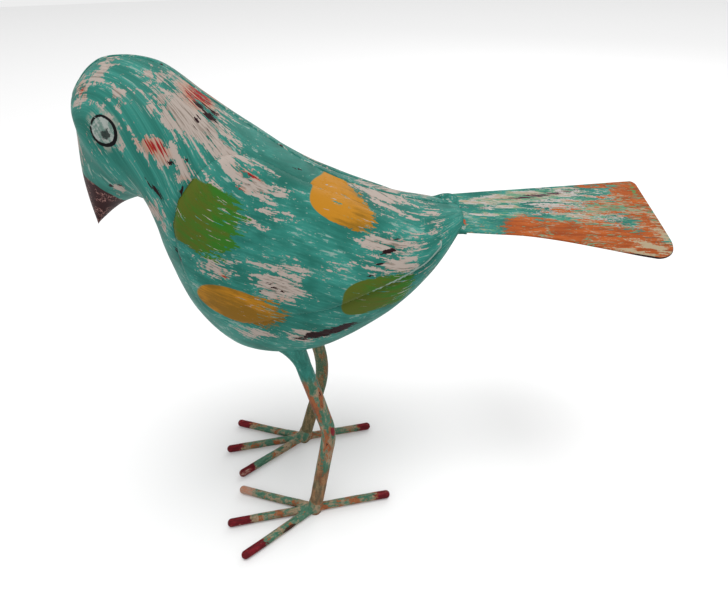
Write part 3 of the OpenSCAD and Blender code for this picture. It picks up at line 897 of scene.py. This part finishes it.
def leg_path(side):
    """Points down the middle of a bent leg rod, its hip, and the direction of its upper part."""
    low, up = (math.radians(k) for k in LEANS[side])
    y = side_y(side)
    d1 = np.array([math.sin(low), 0, math.cos(low)])
    d2 = np.array([-math.sin(up), 0, math.cos(up)])
    knee = np.array([KNEE_Z * math.tan(low), y, KNEE_Z])
    ankle = np.array([0, y, 0.0])
    hip = knee + d2 * (HIP_Z - KNEE_Z) / math.cos(up)
    bend = 9.0 if side == "left" else 20.0
    a, b = knee - d1 * bend, knee + d2 * bend
    t = np.linspace(0, 1, 15)[:, None]
    arc = (1 - t) ** 2 * a + 2 * t * (1 - t) * knee + t * t * b
    low_part = ankle + (a - ankle) * np.linspace(0.004, 1, 24)[:-1, None]
    up_part = b + (hip - b) * np.linspace(0, 1, 24)[1:, None]
    return np.concatenate([low_part, arc, up_part]), hip, d2


def rough_rod(r, seed, amount=0.12):
    """A rod radius that varies a little along and around the rod."""
    def radius(s, ang):
        return r + np.array([amount * noise.noise(Vector((s * 0.16, math.cos(a) * 1.2 + seed,
                                                         math.sin(a) * 1.2))) for a in ang])
    return radius


LOWER = flank(*np.meshgrid(np.linspace(6, 12.5, 260), np.linspace(1.6, math.pi, 200),
                           indexing="ij")).reshape(-1, 3)


def belly_height(x, y):
    """Height of the belly above points (x, y) on the left side."""
    d = ((LOWER[None, :, 0] - np.ravel(x)[:, None]) ** 2
         + (LOWER[None, :, 1] - np.ravel(y)[:, None]) ** 2)
    return LOWER[d.argmin(1), 2].reshape(np.shape(x))


def hip_flare(side, hip, d2):
    """The fillet of weld and filler where a leg runs into the belly."""
    n, m = 26, 64
    ang = np.linspace(0, 2 * math.pi, m, endpoint=False)
    base = np.array([hip[0], -LEG_Y, hip[2]])
    front = 0.5 + 0.5 * np.cos(ang - math.pi)
    reach = 5.6 + 2.4 * front
    tx, ty = base[0] + reach * np.cos(ang) - 1.0, base[1] + reach * np.sin(ang)
    top = np.stack([tx, ty, belly_height(tx, ty) + 0.5], -1)
    e1, e2 = np.array([d2[2], 0, -d2[0]]), np.array([0, 1.0, 0])
    ringv = np.cos(ang)[:, None] * e1 + np.sin(ang)[:, None] * e2
    foot = base - d2 * 10.5 + ringv * 4.05
    mid = base - d2 * (3.6 + 0.6 * front[:, None]) + ringv * (4.3 + 0.4 * front[:, None])
    t = np.linspace(0, 1, n + 1)[:, None, None]
    grid = (1 - t) ** 2 * foot + 2 * t * (1 - t) * mid + t * t * top
    if side == "right":
        grid[..., 1] *= -1
    verts = grid.reshape(-1, 3)
    centre_low, centre_top = grid[0].mean(0), grid[-1].mean(0) + [0, 0, 3]
    verts = np.vstack([verts, centre_low, centre_top])
    k = len(verts) - 2
    faces = ring_faces(n + 1, m)
    faces += [((j + 1) % m, j, k) for j in range(m)]
    faces += [(n * m + j, n * m + (j + 1) % m, k + 1) for j in range(m)]
    if side == "right":
        faces = [tuple(reversed(f)) for f in faces]
    flow = [(1.7 * (i // m) / n, 2.512 * (i % m) / m) for i in range(k)] + [(0, 0)] * 2
    ob = add_mesh(f"hip_fillet_{side}", verts + MIDDLE, faces, None, flow)
    return settle(ob, "hip_weld", f"hip_weld_{side}")


def leg(side):
    path, hip, d2 = leg_path(side)

    def fields(verts, lengths, rings):
        middle = verts.reshape(-1, rings, 3).mean(1).repeat(rings, axis=0)
        off, z = (verts - middle) / LEG_R, verts[:, 2]
        worn = (1.2 - np.abs(z - 86) / 20) * smooth(-off[:, 0], -0.2, 0.6)
        nick = 1.2 - np.hypot((z - 68) / 5, (off[:, 0] - 0.6) / 0.4)
        return {"front": worn.clip(0) * (side == "left"),
                "red_spot": nick * (side == "left") * (off[:, 1] < 0.3)}
    ob = tube(f"leg_rod_{side}", path, rough_rod(LEG_R, 1.0 if side == "left" else 6.0),
              start=0 if side == "left" else 37, fields=fields)
    settle(ob, "leg_paint", f"leg_{side}")
    return ob, hip_flare(side, hip, d2)


legs = {side: leg(side) for side in ("left", "right")}


# ---------------------------------------------------------------- feet
def toe_axis(side, heading):
    """Unit direction of a toe; heading 0 is towards the beak, positive away from the middle."""
    h = math.radians(heading)
    out = -1 if side == "left" else 1
    return np.array([-math.cos(h), out * math.sin(h), 0.0])


# How far each toe's maroon tip reaches back, and how far it is knocked back to primer
TIPS = {
    "left": {"inner": (9, 1.0), "middle": (14, 0.1), "outer": (14, 0.1), "back": (9, 0.3)},
    "right": {"inner": (11, 0.35), "middle": (11, 0.1), "outer": (11, 0.1), "back": (9, 0.2)},
}


def toe(side, which, seed):
    heading, length = TOES[which]
    y = side_y(side)
    d = toe_axis(side, heading)
    start = 4.2
    if which in ("inner", "outer"):
        # The side toes start where they come clear of the middle one
        start = TOE_R / math.sin(math.radians(TOE_SPREAD / 2)) + 0.2
    run = length - start
    straight = run - TOE_ROUND
    # Even steps, then a rounded end
    s = np.concatenate([np.linspace(0, straight, 40),
                        straight + TOE_ROUND * np.sin(np.linspace(0.12, 1.5, 10))])
    sway = 0.35 * np.array([noise.noise(Vector((k * 0.03, seed, 0))) for k in s])
    side_dir = np.array([-d[1], d[0], 0])
    path = np.array([0, y, TOE_R]) + d * (start + s)[:, None] + side_dir * sway[:, None]
    bumps = rough_rod(TOE_R - 0.04, seed, 0.1)

    def radius(k, ang):
        over = max(k - straight, 0) / TOE_ROUND
        return bumps(k, ang) * math.sqrt(max(1 - min(over, 0.995) ** 2, 0))

    tip, bare = TIPS[side][which]

    def fields(verts, lengths, rings):
        left = np.repeat(run - lengths, rings)
        spot = 1.2 - np.hypot((left - 30) / 5.5, (verts[:, 2] - 2.8) / 1.8)
        here = side == "left" and which == "outer"
        return {"tip": left - tip, "is_toe": 1 + 0 * left, "spot": spot * here,
                "bare": bare * (1 - 0.4 * smooth(left, 2, tip))}
    ob = tube(f"toe_rod_{which}_{side}", path, radius, start=seed * 13, rings=22, fields=fields)
    return settle(ob, "toe_paint", f"toe_{which}_{side}")


toes = [toe(side, which, 1.7 * k + (9 if side == "right" else 0))
        for side in ("left", "right") for k, which in enumerate(TOES)]


def capsule(a, b, r, rings=16, steps=10):
    """Points and faces of a closed round-ended bar, for the weld remesh."""
    a, b = np.asarray(a, float), np.asarray(b, float)
    d = unit(b - a)
    up = np.array([0, 0, 1.0]) if abs(d[2]) < 0.8 else np.array([1.0, 0, 0])
    e1 = unit(np.cross(d, up))
    e2 = np.cross(d, e1)
    end = [(-r * math.cos(k), r * math.sin(k)) for k in np.linspace(0.15, math.pi / 2, steps)]
    length = np.linalg.norm(b - a)
    full = end + [(length - z, rr) for z, rr in reversed(end)]
    ring = [2 * math.pi * k / rings for k in range(rings)]
    pts = [a + d * z + rr * (math.cos(t) * e1 + math.sin(t) * e2) for z, rr in full for t in ring]
    last = (len(full) - 1) * rings
    ends = [tuple(reversed(range(rings))), tuple(range(last, last + rings))]
    return pts, ring_faces(len(full), rings) + ends


def foot_weld(side):
    """Weld lumps joining four toes and the leg, remeshed and smoothed so they run together."""
    y = side_y(side)
    lean = math.radians(LEANS[side][0])
    pts, faces = [], []
    bars = [((0, y, 3.2), (8 * math.sin(lean), y, 8.0), 4.35), ((-4, y, 2.9), (3, y, 2.9), 3.2)]
    for which, (heading, _) in TOES.items():
        d = toe_axis(side, heading)
        reach = {"middle": 8.5, "back": 7.5}.get(which, 12.0)
        bars.append(((0, y, 2.8), tuple(np.array([0, y, 2.6]) + d * reach), 2.62))
    for a, b, r in bars:
        p, f = capsule(a, b, r)
        faces += [tuple(len(pts) + k for k in q) for q in f]
        pts += p
    ob = add_mesh(f"foot_weld_lump_{side}", np.array(pts) + MIDDLE, faces)
    join = ob.modifiers.new("join", "REMESH")
    join.mode, join.voxel_size, join.use_smooth_shade = "VOXEL", 0.00045, True
    soften = ob.modifiers.new("run", "SMOOTH")
    soften.factor, soften.iterations = 0.5, 14
    graph = bpy.context.evaluated_depsgraph_get()
    me = bpy.data.meshes.new_from_object(ob.evaluated_get(graph))
    ob.modifiers.clear()
    ob.data = me
    # Uneven all over, and just clear of the floor
    points, normals = np.empty((2, len(me.vertices) * 3))
    me.vertices.foreach_get("co", points)
    me.vertices.foreach_get("normal", normals)
    points = points.reshape(-1, 3)
    points += normals.reshape(-1, 3) * (wobble(points * 1000, 2.6, 8.0) * 0.00022)[:, None]
    points[:, 2] = np.maximum(points[:, 2], 0.0001)
    me.vertices.foreach_set("co", points.ravel())
    me.polygons.foreach_set("use_smooth", [True] * len(me.polygons))
    me.update()
    return settle(ob, "foot_weld", f"foot_weld_{side}")


welds = [foot_weld("left"), foot_weld("right")]


# ---------------------------------------------------------------- finishes
def coat(mat, *obs):
    for ob in obs:
        ob.data.materials.append(mat)


coat(flank_paint("flank_paint"), left_half, right_half, left_wing, right_wing)
coat(weld_paint("seam_paint", TEAL_DARK, TEAL), back, belly, tail_weld)
coat(tail_paint("tail_paint"), tail_ob)
near_leg = rod_paint("leg_paint_left", rusty=0.06, seed=2.0, low=-9.0)
far_leg = rod_paint("leg_paint_right", olive=0.5, seed=8.0, low=-9.0)
coat(near_leg, legs["left"][0], legs["left"][1], legs["right"][1])
coat(far_leg, legs["right"][0])
coat(rod_paint("toe_paint", seed=4.0, low=1.6), *toes, *welds)

# ---------------------------------------------------------------- floor, light and camera
bpy.ops.mesh.primitive_plane_add(size=6, location=(0, 0, -0.0002))
floor = bpy.context.object
floor.name = "floor"
floor_mat = bpy.data.materials.new("floor_plain")
floor_mat.use_nodes = True
plain = floor_mat.node_tree.nodes["Principled BSDF"].inputs
plain["Base Color"].default_value = (0.66, 0.66, 0.66, 1)
plain["Roughness"].default_value = 1.0
plain["Emission Color"].default_value = (1, 1, 1, 1)
plain["Emission Strength"].default_value = 0.12
coat(floor_mat, floor)

world = bpy.data.worlds.new("studio")
bpy.context.scene.world = world
world.use_nodes = True
world.node_tree.nodes["Background"].inputs[0].default_value = (1.0, 1.0, 1.0, 1)
world.node_tree.nodes["Background"].inputs[1].default_value = 0.85


def area_light(name, where, target, size, power):
    data = bpy.data.lights.new(name, "AREA")
    data.shape, data.size, data.energy = "DISK", size, power
    ob = bpy.data.objects.new(name, data)
    bpy.context.scene.collection.objects.link(ob)
    ob.location = where
    ob.rotation_mode = "QUATERNION"
    ob.rotation_quaternion = (Vector(target) - Vector(where)).to_track_quat("-Z", "Y")


area_light("key", (0.2, -0.5, 3.2), (0, 0, 0.15), 1.6, 62)
area_light("fill", (-0.9, -0.7, 0.6), (0, 0, 0.12), 0.8, 1)
area_light("back", (0.7, 0.9, 0.9), (0, 0, 0.15), 0.8, 3)

# The photo's view: which way the camera stands from the bird, how far, and what it looks at
AZIMUTH, ELEVATION, ROLL = (math.radians(k) for k in (-11.0, 33.9, -1.2))
DISTANCE = 0.300
AIM = Vector(((ANKLE_X + 39) / 1000, 0, 0.1297))


def camera():
    data = bpy.data.cameras.new("camera")
    data.sensor_width, data.lens = 36, 27.7
    data.clip_start, data.clip_end = 0.01, 20
    ob = bpy.data.objects.new("camera", data)
    bpy.context.scene.collection.objects.link(ob)
    away = Vector((math.sin(AZIMUTH) * math.cos(ELEVATION),
                   -math.cos(AZIMUTH) * math.cos(ELEVATION), math.sin(ELEVATION)))
    across = (-away).cross(Vector((0, 0, 1))).normalized()
    up = across.cross(-away)
    rolled = (across * math.cos(ROLL) + up * math.sin(ROLL),
              up * math.cos(ROLL) - across * math.sin(ROLL), away)
    place = Matrix(rolled).transposed().to_4x4()
    place.translation = AIM + away * DISTANCE
    ob.matrix_world = place
    return ob


bpy.context.scene.camera = camera()
bpy.context.scene.view_settings.view_transform = "Standard"
